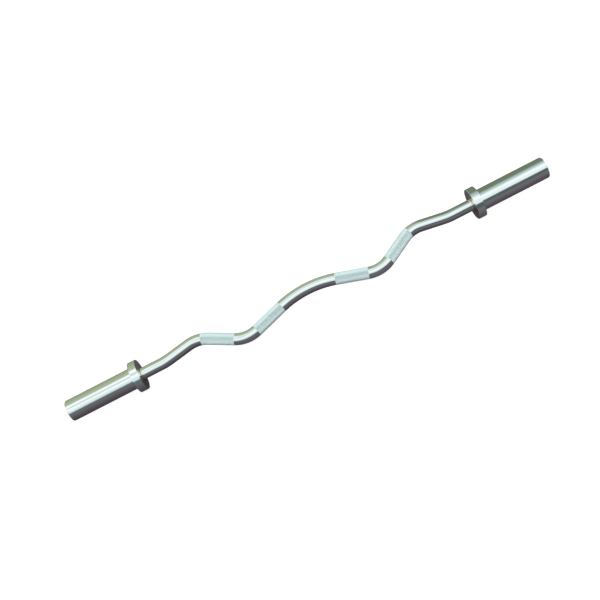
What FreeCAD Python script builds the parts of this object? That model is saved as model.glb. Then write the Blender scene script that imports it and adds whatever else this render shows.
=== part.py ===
import FreeCAD, Part
import math
import os

Vec = FreeCAD.Vector

# All lengths are in millimetres. +X runs along the sleeves, +Z is up, and the origin is on the sleeves' axis at the
# middle of the bar. The bar lies as it does on a floor, on its two collars and the two low bends of its shaft.

# Bent shaft: the corners of its centreline lie in one plane, which holds the sleeves' axis. Spans run along the axis,
# from corner to corner outwards from the middle. Heights are measured square to the axis.
shaft_diameter = 27.5
crown_height = 13.9
inner_grip_span = 167.5
valley_drop = 43.8
outer_grip_span = 103.0
peak_height = 16.1
shoulder_span = 86.0
neck_length = 60.0
crown_radius = 219.0
valley_radius = 64.0
peak_radius = 68.0
entry_radius = 135.0

# Knurled grips: bands that stand a little proud of the bar. Each starts a little before the bend inside it ends.
inner_knurl_length = 77.0
outer_knurl_length = 80.5
inner_knurl_lead = 3.3
outer_knurl_lead = 1.0
knurl_rise = 0.3

# Turned ends of the shaft, each with a hole for the end screw
journal_diameter = 22.0
journal_chamfer = 1.0
hole_reserve = 5.0

# Sleeve tube, which takes the plates, and its stop collar
sleeve_diameter = 50.0
loadable_length = 164.5
sleeve_chamfer = 2.0
mouth_chamfer = 1.0
spigot_diameter = 44.0
collar_diameter = 73.0
collar_thickness = 19.0
collar_chamfer = 0.8

# Bearing hub, pressed into the tube: a seat for the outer bush, closed by a web
web_thickness = 14.0
web_clearance = 1.0
hub_chamfer = 1.0

# Bronze bushes. The inner one fills the tube's bore, the outer one the hub's seat.
running_clearance = 0.05
inner_bush_wall = 3.25
inner_bush_length = 32.0
flange_lip = 0.8
flange_thickness = 0.8
outer_bush_wall = 2.5
outer_bush_length = 26.0
bush_chamfer = 0.6

# Washers
thrust_thickness = 2.0
thrust_clearance = 0.3
end_play = 0.3
retaining_thickness = 4.0
retaining_gap = 1.5
lock_thickness = 2.5
lock_width = 3.0
lock_split = 1.8
washer_clearance = 0.3
washer_chamfer = 0.4
lock_split_angle = 25.0

# End screw, with a hex socket
screw_diameter = 12.0
screw_length = 30.0
screw_clearance = 0.1
screw_tip_chamfer = 1.5
head_diameter = 18.0
head_height = 12.0
head_chamfer = 1.0
head_setback = 6.0
socket_width = 10.0
socket_depth = 6.0
socket_sides = 6

# How far a cutting solid reaches past the face that it cuts
overrun = 1.0

# Places along the axis, from the middle outwards
valley_x = inner_grip_span
peak_x = valley_x + outer_grip_span
entry_x = peak_x + shoulder_span
collar_inner_x = entry_x + neck_length
collar_outer_x = collar_inner_x + collar_thickness
sleeve_end_x = collar_outer_x + loadable_length

# Places inside a sleeve, from its mouth inwards
head_top_x = sleeve_end_x - head_setback
head_seat_x = head_top_x - head_height
lock_seat_x = head_seat_x - lock_thickness
journal_end_x = lock_seat_x - retaining_thickness
bush_face_x = journal_end_x - thrust_thickness - end_play
web_outer_x = bush_face_x - outer_bush_length
web_inner_x = web_outer_x - web_thickness
shoulder_x = web_inner_x - end_play - thrust_thickness
inner_bush_end_x = collar_inner_x + inner_bush_length

# Radii that more than one piece shares
shaft_r = shaft_diameter / 2
journal_r = journal_diameter / 2
sleeve_r = sleeve_diameter / 2
spigot_r = spigot_diameter / 2
screw_r = screw_diameter / 2
tube_bore_r = shaft_r + inner_bush_wall
outer_bush_r = journal_r + outer_bush_wall
washer_bore_r = screw_r + washer_clearance
clamped_washer_r = tube_bore_r - retaining_gap

origin = Vec(0, 0, 0)
along_x = Vec(1, 0, 0)
up = Vec(0, 0, 1)
full_turn = 360.0
half_turn = 180.0


def turned(outline):
    """A solid of revolution about the sleeves' axis, from (place along the axis, radius) corners."""
    corners = [Vec(x, r, 0) for x, r in outline]
    face = Part.Face(Part.makePolygon(corners + corners[:1]))
    return face.revolve(origin, along_x, full_turn)


def ring(start_x, end_x, bore_r, outer_r, chamfer):
    """A plain ring with its outer edges broken."""
    return turned([
        (start_x, bore_r),
        (start_x, outer_r - chamfer),
        (start_x + chamfer, outer_r),
        (end_x - chamfer, outer_r),
        (end_x, outer_r - chamfer),
        (end_x, bore_r),
    ])


def rod_x(start_x, end_x, radius):
    """A plain cylinder along the axis."""
    return Part.makeCylinder(radius, end_x - start_x, Vec(start_x, 0, 0), along_x)


def turned_about(shape):
    """The same piece at the other end of the bar, turned half round about the vertical."""
    other = shape.copy()
    other.rotate(origin, up, half_turn)
    return other


def rounded_edges(corners, radii):
    """Straight runs joined by tangent arcs: one radius for each corner between the two ends."""
    edges = []
    run_start = corners[0]
    for before, corner, after, radius in zip(corners, corners[1:], corners[2:], radii):
        inward = (before - corner).normalize()
        outward = (after - corner).normalize()
        half_corner = inward.getAngle(outward) / 2
        tangent = radius / math.tan(half_corner)
        arc_start = corner + inward * tangent
        arc_end = corner + outward * tangent
        bisector = (inward + outward).normalize()
        arc_middle = corner + bisector * (radius / math.sin(half_corner) - radius)
        edges.append(Part.LineSegment(run_start, arc_start).toShape())
        edges.append(Part.Arc(arc_start, arc_middle, arc_end).toShape())
        run_start = arc_end
    edges.append(Part.LineSegment(run_start, corners[-1]).toShape())
    return edges


def stretch(edges, start, end):
    """The part of a path between two distances from its start."""
    pieces = []
    passed = 0
    for edge in edges:
        first = max(start - passed, 0)
        last = min(end - passed, edge.Length)
        if first < last:
            pieces.append(edge.Curve.toShape(edge.getParameterByLength(first), edge.getParameterByLength(last)))
        passed += edge.Length
    return pieces


def bar_along(edges, radius):
    """A round bar along a path."""
    first = edges[0]
    section = Part.makeCircle(radius, first.valueAt(first.FirstParameter), first.tangentAt(first.FirstParameter))
    return Part.Wire(edges).makePipeShell([Part.Wire(section)], True, False)


def half_centreline():
    """Edges of the right half of the shaft's centreline, flat in the XY plane, from the middle outwards."""
    corners = [
        Vec(-valley_x, -valley_drop, 0),
        Vec(0, crown_height, 0),
        Vec(valley_x, -valley_drop, 0),
        Vec(peak_x, peak_height, 0),
        Vec(entry_x, 0, 0),
        Vec(shoulder_x, 0, 0),
    ]
    edges = rounded_edges(corners, [crown_radius, valley_radius, peak_radius, entry_radius])
    left_run, crown_arc = edges[:2]
    half_crown = crown_arc.Length / 2
    return stretch(edges, left_run.Length + half_crown, sum(edge.Length for edge in edges))


def rest_tilt(edges):
    """Angle of the bend plane when the low bends and the collars stand on the same floor."""
    valley_depth = -min(edge.BoundBox.YMin for edge in edges)
    room_below = collar_diameter / 2 - shaft_r
    return math.degrees(math.asin(min(room_below / valley_depth, 1)))


def shaft_half():
    """Right half of the shaft, flat, with its knurled bands, its journal and its screw hole."""
    edges = half_centreline()
    crown_arc, inner_run, valley_arc = edges[:3]
    inner_start = crown_arc.Length - inner_knurl_lead
    valley_end = crown_arc.Length + inner_run.Length + valley_arc.Length
    outer_start = valley_end - outer_knurl_lead
    total = sum(edge.Length for edge in edges)
    marks = [0, inner_start, inner_start + inner_knurl_length, outer_start, outer_start + outer_knurl_length, total]
    solids = []
    for number, (start, end) in enumerate(zip(marks, marks[1:])):
        knurled = number % 2 == 1
        radius = shaft_r + knurl_rise if knurled else shaft_r
        solids.append(bar_along(stretch(edges, start, end), radius))
    journal = turned([
        (shoulder_x, 0),
        (shoulder_x, journal_r),
        (journal_end_x - journal_chamfer, journal_r),
        (journal_end_x, journal_r - journal_chamfer),
        (journal_end_x, 0),
    ])
    hole_end_x = head_seat_x - screw_length - hole_reserve
    hole = rod_x(hole_end_x, journal_end_x + overrun, screw_r + screw_clearance)
    return solids[0].multiFuse(solids[1:] + [journal]).cut(hole), rest_tilt(edges)


def curl_shaft():
    """The whole shaft, tilted as it lies on the floor."""
    right, tilt = shaft_half()
    whole = right.fuse(right.mirror(origin, along_x)).removeSplitter()
    whole.rotate(origin, along_x, tilt)
    return whole


def sleeve_tube():
    """Thick-walled tube with a spigot for the collar at its inner end and an open mouth."""
    return turned([
        (collar_inner_x, tube_bore_r),
        (collar_inner_x, spigot_r),
        (collar_outer_x, spigot_r),
        (collar_outer_x, sleeve_r),
        (sleeve_end_x - sleeve_chamfer, sleeve_r),
        (sleeve_end_x, sleeve_r - sleeve_chamfer),
        (sleeve_end_x, tube_bore_r + mouth_chamfer),
        (sleeve_end_x - mouth_chamfer, tube_bore_r),
    ])


def bearing_hub():
    """Ring in the tube's bore that seats the outer bush against its web."""
    web_bore_r = journal_r + web_clearance
    return turned([
        (web_inner_x, web_bore_r),
        (web_inner_x, tube_bore_r - hub_chamfer),
        (web_inner_x + hub_chamfer, tube_bore_r),
        (bush_face_x, tube_bore_r),
        (bush_face_x, outer_bush_r),
        (web_outer_x, outer_bush_r),
        (web_outer_x, web_bore_r),
    ])


def stop_collar():
    """Ring on the tube's spigot, which the plates stop against."""
    return ring(collar_inner_x, collar_outer_x, spigot_r, collar_diameter / 2, collar_chamfer)


def inner_bush():
    """Bush round the shaft, with a flange on the tube's inner end."""
    bore_r = shaft_r + running_clearance
    flange_r = tube_bore_r + flange_lip
    flange_x = collar_inner_x - flange_thickness
    return turned([
        (flange_x, bore_r),
        (flange_x, flange_r - bush_chamfer),
        (flange_x + bush_chamfer, flange_r),
        (collar_inner_x, flange_r),
        (collar_inner_x, tube_bore_r),
        (inner_bush_end_x - bush_chamfer, tube_bore_r),
        (inner_bush_end_x, tube_bore_r - bush_chamfer),
        (inner_bush_end_x, bore_r),
    ])


def outer_bush():
    """Plain bush round the journal."""
    return ring(web_outer_x, bush_face_x, journal_r + running_clearance, outer_bush_r, bush_chamfer)


def inner_thrust_washer():
    """Washer on the journal, against the shaft's shoulder."""
    bore_r = journal_r + thrust_clearance
    return ring(shoulder_x, shoulder_x + thrust_thickness, bore_r, shaft_r, washer_chamfer)


def outer_thrust_washer():
    """Washer on the journal's end, against the retaining washer."""
    bore_r = journal_r + thrust_clearance
    return ring(journal_end_x - thrust_thickness, journal_end_x, bore_r, clamped_washer_r, washer_chamfer)


def retaining_washer():
    """Thick washer clamped on the journal's end."""
    return ring(journal_end_x, lock_seat_x, washer_bore_r, clamped_washer_r, washer_chamfer)


def lock_washer():
    """Spring washer with a slanted split."""
    outer_r = washer_bore_r + lock_width
    body = ring(lock_seat_x, head_seat_x, washer_bore_r, outer_r, washer_chamfer)
    middle_x = (lock_seat_x + head_seat_x) / 2
    length = lock_thickness + lock_split + 2 * overrun
    slot = Part.makeBox(2 * length, lock_split, outer_r + overrun, Vec(middle_x - length, -lock_split / 2, 0))
    slot.rotate(Vec(middle_x, 0, 0), up, lock_split_angle)
    return body.cut(slot)


def end_screw():
    """Cap screw with a chamfered head and tip and a hex socket."""
    tip_x = head_seat_x - screw_length
    body = turned([
        (tip_x, 0),
        (tip_x, screw_r - screw_tip_chamfer),
        (tip_x + screw_tip_chamfer, screw_r),
        (head_seat_x, screw_r),
        (head_seat_x, head_diameter / 2),
        (head_top_x - head_chamfer, head_diameter / 2),
        (head_top_x, head_diameter / 2 - head_chamfer),
        (head_top_x, 0),
    ])
    corner_r = socket_width / 2 / math.cos(math.pi / socket_sides)
    socket_x = head_top_x - socket_depth
    corners = []
    for number in range(socket_sides):
        angle = 2 * math.pi * number / socket_sides
        corners.append(Vec(socket_x, corner_r * math.cos(angle), corner_r * math.sin(angle)))
    socket_face = Part.Face(Part.makePolygon(corners + corners[:1]))
    return body.cut(socket_face.extrude(Vec(socket_depth + overrun, 0, 0)))


def write(name, shape):
    shape.exportStep("parts/" + name + ".step")


os.makedirs("parts", exist_ok=True)
write("curl_shaft", curl_shaft())
for make in (
    sleeve_tube,
    stop_collar,
    bearing_hub,
    inner_bush,
    outer_bush,
    inner_thrust_washer,
    outer_thrust_washer,
    retaining_washer,
    lock_washer,
    end_screw,
):
    piece = make()
    write("right_" + make.__name__, piece)
    write("left_" + make.__name__, turned_about(piece))
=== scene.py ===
import math

import bpy
from mathutils import Matrix, Vector

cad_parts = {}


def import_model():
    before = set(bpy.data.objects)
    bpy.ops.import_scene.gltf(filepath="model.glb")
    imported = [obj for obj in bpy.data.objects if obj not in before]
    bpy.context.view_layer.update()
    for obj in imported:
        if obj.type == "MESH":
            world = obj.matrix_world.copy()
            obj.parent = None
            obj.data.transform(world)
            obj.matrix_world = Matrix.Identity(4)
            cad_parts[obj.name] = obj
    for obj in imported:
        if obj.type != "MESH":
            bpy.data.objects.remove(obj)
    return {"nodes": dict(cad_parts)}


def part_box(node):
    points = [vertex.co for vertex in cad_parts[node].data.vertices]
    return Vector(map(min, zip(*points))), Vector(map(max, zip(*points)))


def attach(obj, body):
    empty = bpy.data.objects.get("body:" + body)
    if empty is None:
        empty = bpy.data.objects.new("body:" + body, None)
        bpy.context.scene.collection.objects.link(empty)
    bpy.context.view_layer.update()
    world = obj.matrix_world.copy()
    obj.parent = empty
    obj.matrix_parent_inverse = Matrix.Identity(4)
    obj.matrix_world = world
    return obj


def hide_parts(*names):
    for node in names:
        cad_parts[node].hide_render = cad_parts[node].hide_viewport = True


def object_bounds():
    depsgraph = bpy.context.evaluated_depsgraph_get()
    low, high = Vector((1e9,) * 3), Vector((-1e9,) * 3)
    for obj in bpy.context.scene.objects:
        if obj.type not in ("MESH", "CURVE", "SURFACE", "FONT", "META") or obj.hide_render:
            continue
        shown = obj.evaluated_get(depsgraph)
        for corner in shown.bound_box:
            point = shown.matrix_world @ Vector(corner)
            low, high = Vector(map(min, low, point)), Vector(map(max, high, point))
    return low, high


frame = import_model()
cad_low, cad_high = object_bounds()
scene = bpy.context.scene
SIDES = {"right": 1, "left": -1}

# Sizes, in metres. The shaft's centreline follows the same corners and bends as the solids.
MM = 0.001
SHAFT_R = 13.75 * MM
CROWN_HEIGHT = 13.9 * MM
INNER_GRIP_SPAN = 167.5 * MM
VALLEY_DROP = 43.8 * MM
OUTER_GRIP_SPAN = 103 * MM
PEAK_HEIGHT = 16.1 * MM
SHOULDER_SPAN = 86 * MM
CROWN_BEND = 219 * MM
VALLEY_BEND = 64 * MM
PEAK_BEND = 68 * MM
ENTRY_BEND = 135 * MM
INNER_KNURL_LENGTH = 77 * MM
OUTER_KNURL_LENGTH = 80.5 * MM
INNER_KNURL_LEAD = 3.3 * MM
OUTER_KNURL_LEAD = 1 * MM
KNURL_RISE = 0.3 * MM
KNURL_CUT = 0.12 * MM
KNURL_PITCH_AROUND = 1.35 * MM
KNURL_PITCH_ALONG = 2.5 * MM
JOURNAL_R = 11 * MM
JOURNAL_CHAMFER = 1 * MM
HOLE_R = 6.1 * MM
HOLE_RESERVE = 5 * MM
TUBE_BORE_R = 17 * MM
SPIGOT_R = 22 * MM
SLEEVE_CHAMFER = 2 * MM
MOUTH_CHAMFER = 1 * MM
COLLAR_CHAMFER = 0.8 * MM
BUSH_BORE_R = 13.8 * MM
BUSH_CHAMFER = 0.6 * MM
WASHER_BORE_R = 6.3 * MM
WASHER_CHAMFER = 0.4 * MM
LOCK_SPLIT = 1.8 * MM
LOCK_SPLIT_ANGLE = math.radians(25)
SCREW_R = 6 * MM
SCREW_TIP_CHAMFER = 1.5 * MM
HEAD_EDGE = 0.8 * MM
HEAD_CROWN = 0.2 * MM
HEAD_RIBS = 36
HEAD_RIB_DEPTH = 0.25 * MM
SOCKET_WIDTH = 10 * MM
SOCKET_DEPTH = 6 * MM
SOCKET_CHAMFER = 0.5 * MM
SOCKET_RIM = 0.1 * MM
SOCKET_FLOOR_EDGE = 0.6 * MM
SOCKET_POINT_DEPTH = 1.5 * MM
SOCKET_POINT_R = 0.3 * MM

# Radii of the rounded edges
TUBE_EDGE = 0.6 * MM
COLLAR_EDGE = 0.8 * MM
BUSH_EDGE = 0.2 * MM
WASHER_EDGE = 0.2 * MM
LOCK_EDGE = 0.15 * MM

# The plain bar is cut back under the knurled bands, and their closed inner side lies deeper still.
UNDER_KNURL_R = SHAFT_R - 2 * KNURL_CUT
KNURL_INNER_R = SHAFT_R - 3 * KNURL_CUT

# Angles that set how fine the meshes are
BEND_STEP = math.radians(2)
SHARP_ANGLE = math.radians(35)

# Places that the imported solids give
COLLAR_INNER_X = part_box("right_stop_collar")[0].x
COLLAR_OUTER_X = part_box("right_stop_collar")[1].x
COLLAR_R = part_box("right_stop_collar")[1].z
SLEEVE_END_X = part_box("right_sleeve_tube")[1].x
SLEEVE_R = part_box("right_sleeve_tube")[1].z
SHOULDER_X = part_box("right_inner_thrust_washer")[0].x
JOURNAL_END_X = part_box("curl_shaft")[1].x
FLANGE_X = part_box("right_inner_bush")[0].x
FLANGE_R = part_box("right_inner_bush")[1].z
BUSH_END_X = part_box("right_inner_bush")[1].x
CLAMPED_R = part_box("right_retaining_washer")[1].z
LOCK_SEAT_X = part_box("right_lock_washer")[0].x
HEAD_SEAT_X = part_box("right_lock_washer")[1].x
LOCK_R = -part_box("right_lock_washer")[0].z
HEAD_TOP_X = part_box("right_end_screw")[1].x
TIP_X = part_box("right_end_screw")[0].x
HEAD_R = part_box("right_end_screw")[1].z
FLOOR_Z = cad_low.z


# The shaft's centreline

def bend_plane_segments():
    """Right half of the centreline, from the middle outwards.

    Gives the length and the curvature of each stretch, the height at the middle and the inner grip's slope.
    """
    inner_slope = math.atan2(CROWN_HEIGHT + VALLEY_DROP, INNER_GRIP_SPAN)
    outer_slope = math.atan2(VALLEY_DROP + PEAK_HEIGHT, OUTER_GRIP_SPAN)
    shoulder_slope = math.atan2(PEAK_HEIGHT, SHOULDER_SPAN)
    turns = [inner_slope, inner_slope + outer_slope, outer_slope + shoulder_slope, shoulder_slope]
    bends = [CROWN_BEND, VALLEY_BEND, PEAK_BEND, ENTRY_BEND]
    trims = [CROWN_BEND * math.tan(inner_slope)]
    trims += [bend * math.tan(turn / 2) for bend, turn in zip(bends[1:], turns[1:])]
    trims.append(0)
    runs = [
        math.hypot(INNER_GRIP_SPAN, CROWN_HEIGHT + VALLEY_DROP),
        math.hypot(OUTER_GRIP_SPAN, VALLEY_DROP + PEAK_HEIGHT),
        math.hypot(SHOULDER_SPAN, PEAK_HEIGHT),
        SHOULDER_X - INNER_GRIP_SPAN - OUTER_GRIP_SPAN - SHOULDER_SPAN,
    ]
    segments = []
    for number, (bend, turn, run) in enumerate(zip(bends, turns, runs)):
        way = 1 if number % 2 else -1
        segments.append((bend * turn, way / bend))
        segments.append((run - trims[number] - trims[number + 1], 0))
    crown_top = CROWN_HEIGHT - CROWN_BEND * (1 / math.cos(inner_slope) - 1)
    return segments, crown_top, inner_slope


SEGMENTS, CROWN_TOP, INNER_SLOPE = bend_plane_segments()


def bend_plane_point(distance):
    """Place along the axis, height above it and heading, at a distance from the middle along the bar."""
    way = 1 if distance >= 0 else -1
    left = abs(distance)
    x, height, heading = 0, CROWN_TOP, 0
    for length, curvature in SEGMENTS:
        step = min(left, length)
        turned = heading + curvature * step
        if curvature:
            x += (math.sin(turned) - math.sin(heading)) / curvature
            height += (math.cos(heading) - math.cos(turned)) / curvature
        else:
            x += step * math.cos(heading)
            height += step * math.sin(heading)
        heading = turned
        left -= step
        if left <= 0:
            break
    return x * way, height, heading * way


VALLEY_DISTANCE = SEGMENTS[0][0] + SEGMENTS[1][0] + VALLEY_BEND * INNER_SLOPE
TILT = math.asin((COLLAR_R - SHAFT_R) / -bend_plane_point(VALLEY_DISTANCE)[1])
BINORMAL = Vector((0, -math.sin(TILT), math.cos(TILT)))


def shaft_frame(distance):
    """Point on the centreline and its in-plane normal, with the bend plane tilted as the bar lies."""
    x, height, heading = bend_plane_point(distance)
    point = Vector((x, height * math.cos(TILT), height * math.sin(TILT)))
    sine, cosine = math.sin(heading), math.cos(heading)
    return point, Vector((-sine, cosine * math.cos(TILT), cosine * math.sin(TILT)))


# Meshes

def new_piece(name, vertices, faces, smooth=True):
    mesh = bpy.data.meshes.new(name)
    mesh.from_pydata(vertices, [], faces)
    mesh.polygons.foreach_set("use_smooth", [smooth] * len(mesh.polygons))
    mesh.validate()
    mesh.update()
    if smooth:
        mesh.set_sharp_from_angle(angle=SHARP_ANGLE)
    piece = bpy.data.objects.new(name, mesh)
    scene.collection.objects.link(piece)
    return piece


def full_turn(steps):
    return [2 * math.pi * k / steps for k in range(steps)]


def ring_faces(rings, around, closed):
    """Quads between rings of points, each closed on itself; closed joins the last ring to the first."""
    faces = []
    for ring in range(rings if closed else rings - 1):
        a, b = ring * around, (ring + 1) % rings * around
        for k in range(around):
            n = (k + 1) % around
            faces.append((a + k, a + n, b + n, b + k))
    return faces


def end_faces(rings, around):
    """The two flat ends of an open row of rings."""
    last = (rings - 1) * around
    return [tuple(reversed(range(around))), tuple(range(last, last + around))]


def about_axis(x, radius, angle):
    return x, radius * math.cos(angle), radius * math.sin(angle)


def about_bar(point, normal, radius, angle):
    return point + radius * (math.cos(angle) * normal + math.sin(angle) * BINORMAL)


def facing(faces, way):
    """The faces as they are for the right side, turned over for its mirror image."""
    return faces if way > 0 else [tuple(reversed(face)) for face in faces]


def softened(corners, radius, steps=4):
    """A closed outline with rounded corners, and a point on each side of them that keeps the flats flat."""
    largest_share = 0.35
    hold_share = 0.3
    points = []
    count = len(corners)
    for number, corner in enumerate(corners):
        here = Vector(corner)
        back = Vector(corners[number - 1]) - here
        ahead = Vector(corners[(number + 1) % count]) - here
        half = back.angle(ahead) / 2
        reach = min(radius / math.tan(half), largest_share * back.length, largest_share * ahead.length)
        start, end = here + back.normalized() * reach, here + ahead.normalized() * reach
        hold = hold_share * reach
        points.append(start + back.normalized() * hold)
        for step in range(steps + 1):
            share = step / steps
            points.append((1 - share) ** 2 * start + 2 * share * (1 - share) * here + share ** 2 * end)
        points.append(end + ahead.normalized() * hold)
    return points


def lathe(name, outline, edge, way, around=160):
    """A closed ring turned about the sleeves' axis from an outline of (place, radius) corners."""
    section = softened(outline, edge)
    vertices = [about_axis(way * x, radius, turn) for x, radius in section for turn in full_turn(around)]
    return new_piece(name, vertices, facing(ring_faces(len(section), around, True), way))


def ring_outline(start, end, bore_r, outer_r, chamfer):
    return [
        (start, bore_r),
        (start, outer_r - chamfer),
        (start + chamfer, outer_r),
        (end - chamfer, outer_r),
        (end, outer_r - chamfer),
        (end, bore_r),
    ]


TUBE_OUTLINE = [
    (COLLAR_INNER_X, TUBE_BORE_R),
    (COLLAR_INNER_X, SPIGOT_R),
    (COLLAR_OUTER_X, SPIGOT_R),
    (COLLAR_OUTER_X, SLEEVE_R),
    (SLEEVE_END_X - SLEEVE_CHAMFER, SLEEVE_R),
    (SLEEVE_END_X, SLEEVE_R - SLEEVE_CHAMFER),
    (SLEEVE_END_X, TUBE_BORE_R + MOUTH_CHAMFER),
    (SLEEVE_END_X - MOUTH_CHAMFER, TUBE_BORE_R),
]
BUSH_OUTLINE = [
    (FLANGE_X, BUSH_BORE_R),
    (FLANGE_X, FLANGE_R - BUSH_CHAMFER),
    (FLANGE_X + BUSH_CHAMFER, FLANGE_R),
    (COLLAR_INNER_X, FLANGE_R),
    (COLLAR_INNER_X, TUBE_BORE_R),
    (BUSH_END_X - BUSH_CHAMFER, TUBE_BORE_R),
    (BUSH_END_X, TUBE_BORE_R - BUSH_CHAMFER),
    (BUSH_END_X, BUSH_BORE_R),
]
COLLAR_OUTLINE = ring_outline(COLLAR_INNER_X, COLLAR_OUTER_X, SPIGOT_R, COLLAR_R, COLLAR_CHAMFER)
CLAMPED_OUTLINE = ring_outline(JOURNAL_END_X, LOCK_SEAT_X, WASHER_BORE_R, CLAMPED_R, WASHER_CHAMFER)
LOCK_OUTLINE = ring_outline(LOCK_SEAT_X, HEAD_SEAT_X, WASHER_BORE_R, LOCK_R, WASHER_CHAMFER)

# Start and length of the knurled bands along the bar
BANDS = {
    "inner": (SEGMENTS[0][0] - INNER_KNURL_LEAD, INNER_KNURL_LENGTH),
    "outer": (sum(length for length, _ in SEGMENTS[:3]) - OUTER_KNURL_LEAD, OUTER_KNURL_LENGTH),
}


def bar_radius(distance):
    """Radius of the plain bar, which is cut back under the knurled bands."""
    for start, length in BANDS.values():
        if start < abs(distance) < start + length:
            return UNDER_KNURL_R
    return SHAFT_R


def shaft_bar(around=112):
    """The bent bar as rings along its centreline, with the journal and the screw hole at each end."""
    cut_step = 0.05 * MM
    ends = [
        (SHOULDER_X, JOURNAL_R),
        (JOURNAL_END_X - JOURNAL_CHAMFER, JOURNAL_R),
        (JOURNAL_END_X, JOURNAL_R - JOURNAL_CHAMFER),
        (JOURNAL_END_X, HOLE_R),
        (TIP_X - HOLE_RESERVE, HOLE_R),
    ]
    side_normal = Vector((0, math.cos(TILT), math.sin(TILT)))
    distances = []
    passed = 0
    for length, curvature in SEGMENTS:
        steps = max(2, round(length * abs(curvature) / BEND_STEP))
        distances += [passed + length * step / steps for step in range(steps)]
        passed += length
    distances.append(passed)
    for start, length in BANDS.values():
        distances += [start, start + cut_step, start + length - cut_step, start + length]
    distances = sorted(set(distances + [-distance for distance in distances]))
    rings = [(Vector((-x, 0, 0)), side_normal, radius) for x, radius in reversed(ends)]
    rings += [(*shaft_frame(distance), bar_radius(distance)) for distance in distances]
    rings += [(Vector((x, 0, 0)), side_normal, radius) for x, radius in ends]
    vertices = [about_bar(*ring, turn) for ring in rings for turn in full_turn(around)]
    faces = ring_faces(len(rings), around, False) + end_faces(len(rings), around)
    return new_piece("bent_bar", vertices, faces)


def knurl_band(name, start, length, way):
    """A closed band of cut diamonds round the bar, from a distance along the centreline outwards."""
    low_r, high_r = SHAFT_R - KNURL_CUT, SHAFT_R + KNURL_RISE
    around = 2 * round(2 * math.pi * high_r / KNURL_PITCH_AROUND)
    rows = 2 * round(length / KNURL_PITCH_ALONG)
    rings = [(row, True) for row in range(rows + 1)] + [(row, False) for row in range(rows, -1, -2)]
    radii = []
    vertices = []
    for row, outside in rings:
        point, normal = shaft_frame(way * (start + length * row / rows))
        for k, turn in enumerate(full_turn(around)):
            if not outside:
                radius = KNURL_INNER_R
            elif row in (0, rows) or (row + k) % 2:
                radius = low_r
            else:
                radius = high_r
            vertices.append(about_bar(point, normal, radius, turn))
            radii.append(radius)
    faces = []
    for number, (a, b, c, d) in enumerate(ring_faces(len(rings), around, True)):
        row, k = divmod(number, around)
        if row >= rows:
            faces.append((a, b, c, d))
        elif (row + k) % 2:
            faces += [(a, b, c), (a, c, d)]
        else:
            faces += [(a, b, d), (b, c, d)]
    band = new_piece(name, vertices, facing(faces, way), smooth=False)
    height = band.data.attributes.new("height", "FLOAT", "POINT")
    height.data.foreach_set("value", [(radius - low_r) / (high_r - low_r) for radius in radii])
    return band


def spring_washer(name, way, around=120):
    """A split ring with a slanted gap at the top."""
    section = softened(LOCK_OUTLINE, LOCK_EDGE)
    middle_x = (LOCK_SEAT_X + HEAD_SEAT_X) / 2
    middle_r = (WASHER_BORE_R + LOCK_R) / 2
    gap = LOCK_SPLIT / middle_r / math.cos(LOCK_SPLIT_ANGLE)
    slant = math.tan(LOCK_SPLIT_ANGLE) / middle_r
    vertices = []
    for step in range(around + 1):
        turn = math.pi / 2 + gap / 2 + (2 * math.pi - gap) * step / around
        vertices += [about_axis(way * x, radius, turn + slant * (x - middle_x)) for x, radius in section]
    faces = ring_faces(around + 1, len(section), False) + end_faces(around + 1, len(section))
    return new_piece(name, vertices, facing(faces, -way))


def cap_screw(name, way, around=144):
    """A socket-head screw: hex socket, head with a ribbed side, and plain shank."""
    sixth = math.pi / 3
    socket_r = SOCKET_WIDTH / 2
    corner_r = socket_r / math.cos(sixth / 2)
    socket_x = HEAD_TOP_X - SOCKET_DEPTH
    half_edge = HEAD_EDGE / 2
    rib_end = 1.3 * HEAD_EDGE

    def hexagon(turn):
        return socket_r / math.cos((turn + sixth / 2) % sixth - sixth / 2)

    def ribbed(turn):
        return HEAD_R - HEAD_RIB_DEPTH * abs(2 * (turn * HEAD_RIBS / (2 * math.pi) % 1) - 1)

    def round_at(radius):
        return lambda turn: radius

    stations = [
        (socket_x - SOCKET_POINT_DEPTH, round_at(SOCKET_POINT_R)),
        (socket_x, round_at(socket_r - SOCKET_FLOOR_EDGE)),
        (socket_x, hexagon),
        (HEAD_TOP_X - SOCKET_CHAMFER, hexagon),
        (HEAD_TOP_X, round_at(corner_r + SOCKET_RIM)),
        (HEAD_TOP_X, round_at(HEAD_R - HEAD_EDGE - HEAD_CROWN)),
        (HEAD_TOP_X - half_edge / 2, round_at(HEAD_R - half_edge)),
        (HEAD_TOP_X - HEAD_EDGE, round_at(HEAD_R - HEAD_RIB_DEPTH)),
        (HEAD_TOP_X - rib_end, ribbed),
        (HEAD_SEAT_X + rib_end, ribbed),
        (HEAD_SEAT_X + HEAD_EDGE, round_at(HEAD_R - HEAD_RIB_DEPTH)),
        (HEAD_SEAT_X, round_at(HEAD_R - half_edge)),
        (HEAD_SEAT_X, round_at(SCREW_R)),
        (TIP_X + SCREW_TIP_CHAMFER, round_at(SCREW_R)),
        (TIP_X, round_at(SCREW_R - SCREW_TIP_CHAMFER)),
    ]
    turns = full_turn(around)
    vertices = [about_axis(way * x, shape(turn), turn) for x, shape in stations for turn in turns]
    faces = ring_faces(len(stations), around, False) + end_faces(len(stations), around)
    return new_piece(name, vertices, facing(faces, way))


# Materials

TONE_SCALE = 30
POLISH_SCALE = 70
MARK_SCALE = 2500
MARK_HEIGHT = 0.02 * MM
NOISE_LOW = 0.3
NOISE_HIGH = 0.7
DRAWN_SHRINK = 0.03


def add(tree, kind, **settings):
    node = tree.nodes.new(kind)
    for key, value in settings.items():
        setattr(node, key, value)
    return node


def set_inputs(node, **values):
    for key, value in values.items():
        node.inputs[key.replace("_", " ")].default_value = value
    return node


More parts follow.
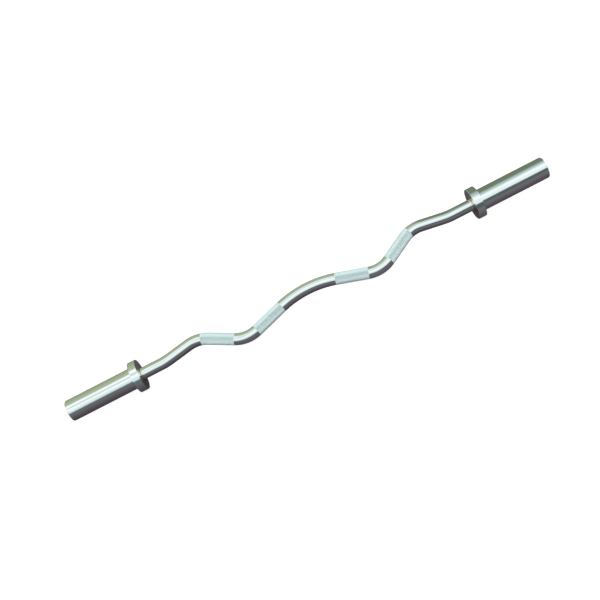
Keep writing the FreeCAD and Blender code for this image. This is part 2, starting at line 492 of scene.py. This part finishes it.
def noise(tree, vector, scale, detail=3):
    node = set_inputs(add(tree, "ShaderNodeTexNoise"), Scale=scale, Detail=detail)
    tree.links.new(vector, node.inputs["Vector"])
    return node.outputs["Fac"]


def between(tree, factor, low, high):
    """A number that follows a noise from one value to another."""
    node = set_inputs(add(tree, "ShaderNodeMapRange"), From_Min=NOISE_LOW, From_Max=NOISE_HIGH)
    set_inputs(node, To_Min=low, To_Max=high)
    tree.links.new(factor, node.inputs["Value"])
    return node.outputs["Result"]


def blend(tree, factor, first, second):
    """A colour that follows a factor from one colour to another."""
    node = add(tree, "ShaderNodeMix", data_type="RGBA")
    set_inputs(node, A=(*first, 1), B=(*second, 1))
    tree.links.new(factor, node.inputs["Factor"])
    return node.outputs["Result"]


def bump(tree, height, strength, distance):
    node = set_inputs(add(tree, "ShaderNodeBump"), Strength=strength, Distance=distance)
    tree.links.new(height, node.inputs["Height"])
    return node.outputs["Normal"]


def turned_place(tree, place):
    """Place along the axis and distance from it, so that marks run round the piece."""
    parts = add(tree, "ShaderNodeSeparateXYZ")
    flat = add(tree, "ShaderNodeCombineXYZ")
    length = add(tree, "ShaderNodeVectorMath", operation="LENGTH")
    both = add(tree, "ShaderNodeCombineXYZ")
    tree.links.new(place, parts.inputs[0])
    tree.links.new(parts.outputs["Y"], flat.inputs["Y"])
    tree.links.new(parts.outputs["Z"], flat.inputs["Z"])
    tree.links.new(flat.outputs[0], length.inputs[0])
    tree.links.new(parts.outputs["X"], both.inputs["X"])
    tree.links.new(length.outputs["Value"], both.inputs["Y"])
    return both.outputs[0]


def drawn_place(tree, place):
    """Place with its length shrunk, so that marks run along the bar."""
    node = set_inputs(add(tree, "ShaderNodeMapping"), Scale=(DRAWN_SHRINK, 1, 1))
    tree.links.new(place, node.inputs["Vector"])
    return node.outputs[0]


def surface(name, tones, roughness, marks, mark_strength, metallic=1):
    """A finish whose tone and polish drift a little, with the fine marks of its making."""
    material = bpy.data.materials.new(name)
    material.use_nodes = True
    tree = material.node_tree
    body = tree.nodes["Principled BSDF"]
    place = add(tree, "ShaderNodeTexCoord").outputs["Object"]
    tone = blend(tree, between(tree, noise(tree, place, TONE_SCALE), 0, 1), *tones)
    fine = noise(tree, marks(tree, place), MARK_SCALE, detail=2)
    polish = between(tree, noise(tree, place, POLISH_SCALE, detail=4), *roughness)
    tree.links.new(tone, body.inputs["Base Color"])
    tree.links.new(polish, body.inputs["Roughness"])
    tree.links.new(bump(tree, fine, mark_strength, MARK_HEIGHT), body.inputs["Normal"])
    body.inputs["Metallic"].default_value = metallic
    return material


def knurled(name, groove_shade_tone, **finish):
    """A finish for cut diamonds, with painted shade that darkens their colour from their tips into their
    grooves.
    """
    material = surface(name, **finish)
    tree = material.node_tree
    body = tree.nodes["Principled BSDF"]
    height = add(tree, "ShaderNodeAttribute", attribute_name="height").outputs["Fac"]
    tips = add(tree, "ShaderNodeMix", data_type="RGBA", blend_type="MULTIPLY")
    tips.inputs["Factor"].default_value = 1
    tone = body.inputs["Base Color"].links[0].from_socket
    tree.links.new(tone, tips.inputs["A"])
    # Painted shade: the colour is multiplied down towards the groove tone where the diamonds are low.
    tree.links.new(blend(tree, height, groove_shade_tone, (1, 1, 1)), tips.inputs["B"])
    tree.links.new(tips.outputs["Result"], body.inputs["Base Color"])
    return material


CHROME = {
    "tones": ((0.84, 0.85, 0.85), (0.88, 0.89, 0.89)),
    "roughness": (0.1, 0.16),
    "mark_strength": 0.06,
}
DRAWN_CHROME = surface("drawn_chrome", marks=drawn_place, **CHROME)
TURNED_CHROME = surface("turned_chrome", marks=turned_place, **CHROME)
KNURL = knurled(
    "knurled_chrome",
    # Painted shade in the grooves of the diamonds
    groove_shade_tone=(0.88, 0.9, 0.9),
    # The cyan tint of these tones is a painted reflection of the cyan-tinted studio light.
    tones=((0.85, 0.97, 0.975), (0.89, 0.99, 0.995)),
    roughness=(0.28, 0.36),
    marks=drawn_place,
    mark_strength=0.1,
    metallic=0.52,
)
BRONZE = surface(
    "bronze",
    tones=((0.44, 0.37, 0.22), (0.56, 0.49, 0.31)),
    roughness=(0.14, 0.24),
    marks=turned_place,
    mark_strength=0.2,
)
ZINC = surface(
    "zinc_plate",
    tones=((0.55, 0.56, 0.57), (0.64, 0.65, 0.66)),
    roughness=(0.25, 0.4),
    marks=turned_place,
    mark_strength=0.3,
)
BLACK = surface(
    "black_oxide",
    tones=((0.035, 0.035, 0.038), (0.06, 0.06, 0.065)),
    roughness=(0.32, 0.5),
    marks=turned_place,
    mark_strength=0.25,
    metallic=0.8,
)
NYLON = surface(
    "nylon",
    tones=((0.78, 0.76, 0.69), (0.84, 0.82, 0.76)),
    roughness=(0.45, 0.6),
    marks=turned_place,
    mark_strength=0.2,
    metallic=0,
)


# The object

def dress(piece, material, body, node=None):
    """Gives a piece its material, its body and its slot, and hides the solid that it stands in for."""
    piece.data.materials.append(material)
    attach(piece, body)
    if node:
        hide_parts(node)


dress(shaft_bar(), DRAWN_CHROME, "shaft", "curl_shaft")

for side, way in SIDES.items():
    for grip, (start, length) in BANDS.items():
        dress(knurl_band(side + "_" + grip + "_knurl", start, length, way), KNURL, "shaft")
    sleeve = side + "_sleeve"
    tube = lathe(side + "_tube", TUBE_OUTLINE, TUBE_EDGE, way)
    dress(tube, TURNED_CHROME, sleeve, side + "_sleeve_tube")
    collar = lathe(side + "_collar", COLLAR_OUTLINE, COLLAR_EDGE, way)
    dress(collar, TURNED_CHROME, sleeve, side + "_stop_collar")
    bush = lathe(side + "_flanged_bush", BUSH_OUTLINE, BUSH_EDGE, way)
    dress(bush, BRONZE, sleeve, side + "_inner_bush")
    washer = lathe(side + "_end_washer", CLAMPED_OUTLINE, WASHER_EDGE, way)
    dress(washer, ZINC, "shaft", side + "_retaining_washer")
    dress(spring_washer(side + "_spring_washer", way), ZINC, "shaft", side + "_lock_washer")
    dress(cap_screw(side + "_cap_screw", way), BLACK, "shaft", side + "_end_screw")

# Solids inside the sleeves that show as they are
HIDDEN_FINISHES = {
    "bearing_hub": ZINC,
    "outer_bush": BRONZE,
    "inner_thrust_washer": NYLON,
    "outer_thrust_washer": NYLON,
}
for side in SIDES:
    for kind, material in HIDDEN_FINISHES.items():
        node = frame["nodes"][side + "_" + kind]
        node.data.materials.clear()
        node.data.materials.append(material)


# Stage: a pale floor, and a tunnel of cards that the metal reflects

FLOOR_HALF = 12
FLOOR_PAINT = (0.3, 0.3, 0.3)
FLOOR_GLOW_SEEN = 0.88
FLOOR_GLOW_AS_LIGHT = 0.08
WORLD_SEEN = 1
WORLD_AS_LIGHT = 0.9


def seen_directly(tree):
    """1 for camera, glossy and transmission rays."""
    path = add(tree, "ShaderNodeLightPath")
    first = add(tree, "ShaderNodeMath", operation="MAXIMUM")
    second = add(tree, "ShaderNodeMath", operation="MAXIMUM")
    tree.links.new(path.outputs["Is Camera Ray"], first.inputs[0])
    tree.links.new(path.outputs["Is Glossy Ray"], first.inputs[1])
    tree.links.new(first.outputs[0], second.inputs[0])
    tree.links.new(path.outputs["Is Transmission Ray"], second.inputs[1])
    return second.outputs[0]


def level_by_ray(tree, as_light, seen, strength):
    """Sets a strength to one level for the rays that see a thing, and to another for the light it gives."""
    level = set_inputs(add(tree, "ShaderNodeMapRange"), To_Min=as_light, To_Max=seen)
    tree.links.new(seen_directly(tree), level.inputs["Value"])
    tree.links.new(level.outputs["Result"], strength)


def empty_material(name):
    material = bpy.data.materials.new(name)
    material.use_nodes = True
    material.node_tree.nodes.clear()
    return material, material.node_tree


def floor():
    corners = [(x * FLOOR_HALF, y * FLOOR_HALF, FLOOR_Z) for x, y in ((-1, -1), (1, -1), (1, 1), (-1, 1))]
    ground = new_piece("floor", corners, [(0, 1, 2, 3)], smooth=False)
    material, tree = empty_material("pale_floor")
    paint = set_inputs(add(tree, "ShaderNodeBsdfDiffuse"), Color=(*FLOOR_PAINT, 1))
    glow = add(tree, "ShaderNodeEmission")
    both = add(tree, "ShaderNodeAddShader")
    out = add(tree, "ShaderNodeOutputMaterial")
    level_by_ray(tree, FLOOR_GLOW_AS_LIGHT, FLOOR_GLOW_SEEN, glow.inputs["Strength"])
    tree.links.new(paint.outputs[0], both.inputs[0])
    tree.links.new(glow.outputs[0], both.inputs[1])
    tree.links.new(both.outputs[0], out.inputs["Surface"])
    ground.data.materials.append(material)


def card(name, rows, lights=False):
    """A card along the bar that shows only as a reflection, and as light if it gives any.

    Each row is a list of places along the card with their colours, from its left end to its right one.
    """
    vertices = [place for row in rows for place, _ in row]
    tones = [(*colour, 1) for row in rows for _, colour in row]
    along = len(rows[0])
    faces = []
    for row in range(len(rows) - 1):
        for k in range(along - 1):
            a = along * row + k
            faces.append((a, a + 1, a + along + 1, a + along))
    piece = new_piece(name, vertices, faces, smooth=False)
    layer = piece.data.color_attributes.new("tone", "FLOAT_COLOR", "POINT")
    for point, tone in zip(layer.data, tones):
        point.color = tone
    material, tree = empty_material(name)
    tone = add(tree, "ShaderNodeAttribute", attribute_name="tone")
    glow = add(tree, "ShaderNodeEmission")
    out = add(tree, "ShaderNodeOutputMaterial")
    tree.links.new(tone.outputs["Color"], glow.inputs["Color"])
    tree.links.new(glow.outputs[0], out.inputs["Surface"])
    piece.data.materials.append(material)
    piece.visible_camera = False
    piece.visible_shadow = False
    piece.visible_diffuse = lights


# Sizes of the cards, in metres. A card round the bar changes between its left turn and its middle, and
# between its middle and its right turn. A card on the floor changes from left to right between its turns.
# A spread is the length that a card gains at each end for each metre of distance from the bar.
TUNNEL_R = 2.4
LEFT_TURN = -0.65
MIDDLE_HALF = 0.42
RIGHT_TURN = 0.85
END_CARD_R = 2.33
END_CARD_SPAN = (1.45, 3.4)
END_CARD_ANGLES = (16, 31, 46, 61, 76)
LAID_TURN = 0.45
CARD_Z = FLOOR_Z + 0.3 * MM
SHEET_Z = FLOOR_Z + 0.15 * MM
SHORT_SPREAD = 0.42
WIDE_SPREAD = 1.2
LONG_SPREAD = 3.5

# The camera's direction round the bar, from straight up: square on to the bend plane, then further forward
PAST_BEND_PLANE = math.radians(28)
VIEW_TURN = TILT + PAST_BEND_PLANE


def half_length(distance, spread):
    """Half the length of a card at a distance from the bar.

    Seen from the front, the sleeves' sides mirror a card of short spread up to their ends, and their end
    bevels miss it. Wider ones also show from the back and from the ends.
    """
    return SLEEVE_END_X + spread * distance


def round_bar(x, angle, radius=TUNNEL_R):
    """A place at an angle round the bar from the camera's direction, positive over the bar's top."""
    turn = math.radians(angle) - VIEW_TURN
    return x, radius * math.sin(turn), radius * math.cos(turn)


def arched(left, middle, right, spread=WIDE_SPREAD):
    """A row of a card round the bar, from the angle and the colour of its left, middle and right."""
    half = half_length(TUNNEL_R, spread)
    places = (-half, LEFT_TURN, -MIDDLE_HALF, MIDDLE_HALF, RIGHT_TURN, half)
    tones = (left, left, middle, middle, right, right)
    return [(round_bar(x, angle), colour) for x, (angle, colour) in zip(places, tones)]


def laid(left, right, spread=SHORT_SPREAD, z=CARD_Z):
    """A row of a card on the floor, from the place across the bar and the colour of its left and right."""
    left_y, left_colour = left
    right_y, right_colour = right
    half = half_length(math.hypot(left_y, z), spread)
    row = []
    for x in (-half, -LAID_TURN, -LAID_TURN / 3, LAID_TURN / 3, LAID_TURN, half):
        share = min(max((x / LAID_TURN + 1) / 2, 0), 1)
        colour = tuple(a + share * (b - a) for a, b in zip(left_colour, right_colour))
        row.append(((x, left_y + share * (right_y - left_y), z), colour))
    return row


def cards():
    white = (1.08, 1.11, 1.11)
    pale = (0.88, 1, 1.01)
    mid_pale = (0.78, 0.92, 0.93)
    dim_pale = (0.72, 0.87, 0.88)
    cyan = (0.62, 0.78, 0.785)
    mid_cyan = (0.8, 0.92, 0.92)
    dull_cyan = (0.43, 0.57, 0.56)
    dim_cyan = (0.4, 0.55, 0.54)
    rim = (0.55, 0.73, 0.74)
    left_teal = (0.125, 0.158, 0.152)
    mid_teal = (0.11, 0.145, 0.14)
    right_teal = (0.088, 0.125, 0.121)
    left_slate = (0.14, 0.136, 0.145)
    right_slate = (0.17, 0.165, 0.182)
    left_ash = (0.118, 0.104, 0.117)
    right_ash = (0.143, 0.13, 0.146)
    left_dusk = (0.068, 0.057, 0.067)
    right_dusk = (0.085, 0.072, 0.087)
    plum = (0.1, 0.084, 0.096)
    black = (0.028, 0.02, 0.02)
    grey = (0.58, 0.6, 0.6)
    leaf = (0.48, 0.595, 0.44)
    mid_leaf = (0.44, 0.555, 0.415)
    dim_leaf = (0.21, 0.275, 0.2)
    green = (0.41, 0.5, 0.33)
    mid_green = (0.41, 0.5, 0.35)
    moss = (0.35, 0.41, 0.26)
    mid_moss = (0.38, 0.45, 0.3)
    olive = (0.175, 0.226, 0.148)
    card("softbox", [
        arched((-24, rim), (-19.5, rim), (-15.7, rim)),
        arched((-15, dim_pale), (-12, mid_pale), (-9.5, pale)),
        arched((0, pale), (3, pale), (7.4, pale)),
        arched((8, white), (12, white), (19, white)),
        arched((19, white), (24, white), (32, white)),
        arched((25, cyan), (36, mid_cyan), (45, cyan)),
        arched((34, cyan), (48, mid_cyan), (60, dim_cyan)),
        arched((38, white), (56, mid_cyan), (66, dull_cyan)),
        arched((59, white), (66.5, mid_cyan), (75, dim_leaf)),
    ], lights=True)
    for name, way in (("left_end_card", -1), ("right_end_card", 1)):
        rows = []
        for angle in END_CARD_ANGLES:
            rows.append([(round_bar(way * x, angle, END_CARD_R), white) for x in END_CARD_SPAN])
        card(name, rows, lights=True)
    card("green_card", [
        arched((60, leaf), (67.5, mid_leaf), (75, dim_leaf)),
        arched((92, green), (92, mid_green), (90, olive), LONG_SPREAD),
        arched((120, moss), (120, mid_moss), (120, olive), LONG_SPREAD),
        arched((146, moss), (146, mid_moss), (144, olive)),
        arched((150, plum), (150, plum), (148, plum)),
        arched((155, plum), (155, plum), (155, plum)),
        laid((TUNNEL_R, plum), (TUNNEL_R, plum), WIDE_SPREAD),
        laid((0.09, plum), (0.09, plum)),
    ])
    card("dark_card_and_painted_shadow", [
        arched((-24, left_teal), (-19.5, mid_teal), (-15.7, right_teal)),
        arched((-24.2, left_teal), (-24.1, mid_teal), (-24, right_teal)),
        laid((-TUNNEL_R, left_teal), (-TUNNEL_R, right_teal), WIDE_SPREAD),
        laid((-0.13, left_teal), (-0.155, right_teal)),
        # The rows close to the bar are a painted shadow of the bar on the floor, seen only in reflection.
        laid((-0.085, left_slate), (-0.09, right_slate)),
        laid((-0.052, left_ash), (-0.052, right_ash)),
        laid((-0.02, left_dusk), (-0.02, right_dusk)),
        laid((0.06, black), (0.06, black)),
        laid((0.075, black), (0.075, black)),
        laid((0.09, plum), (0.09, plum)),
    ])
    # Painted shade: a grey sheet over the pale floor round the bar, seen only in reflection.
    card("painted_shade_sheet", [
        laid((-0.6, grey), (-0.6, grey), WIDE_SPREAD, SHEET_Z),
        laid((0.9, grey), (0.9, grey), WIDE_SPREAD, SHEET_Z),
    ])


def world():
    surround = bpy.data.worlds.new("surround")
    scene.world = surround
    surround.use_nodes = True
    tree = surround.node_tree
    ground = tree.nodes["Background"]
    ground.inputs["Color"].default_value = (1, 1, 1, 1)
    level_by_ray(tree, WORLD_AS_LIGHT, WORLD_SEEN, ground.inputs["Strength"])


def camera():
    """In front of the bar, looking down on its low bends, turned so that the bar rises to the right."""
    image_width_px = 600
    focal_px = 884.0
    distance = 1.987
    lean = math.radians(0.46)
    roll = math.radians(27.203)
    middle_px = (306.68, 289.44)
    lens = bpy.data.cameras.new("camera")
    lens.sensor_width = 36
    lens.lens = lens.sensor_width * focal_px / image_width_px
    lens.shift_x = (image_width_px / 2 - middle_px[0]) / image_width_px
    lens.shift_y = (middle_px[1] - image_width_px / 2) / image_width_px
    facing_eye = Vector((0, -math.sin(VIEW_TURN), math.cos(VIEW_TURN)))
    across = Vector((0, math.cos(VIEW_TURN), math.sin(VIEW_TURN)))
    back = math.cos(lean) * facing_eye + math.sin(lean) * Vector((1, 0, 0))
    along = across.cross(back)
    right = math.cos(roll) * along - math.sin(roll) * across
    up = math.sin(roll) * along + math.cos(roll) * across
    eye = bpy.data.objects.new("camera", lens)
    turn = Matrix((right, up, back)).transposed().to_4x4()
    eye.matrix_world = Matrix.Translation(distance * back) @ turn
    scene.collection.objects.link(eye)
    scene.camera = eye


floor()
cards()
world()
camera()
scene.view_settings.view_transform = "Standard"
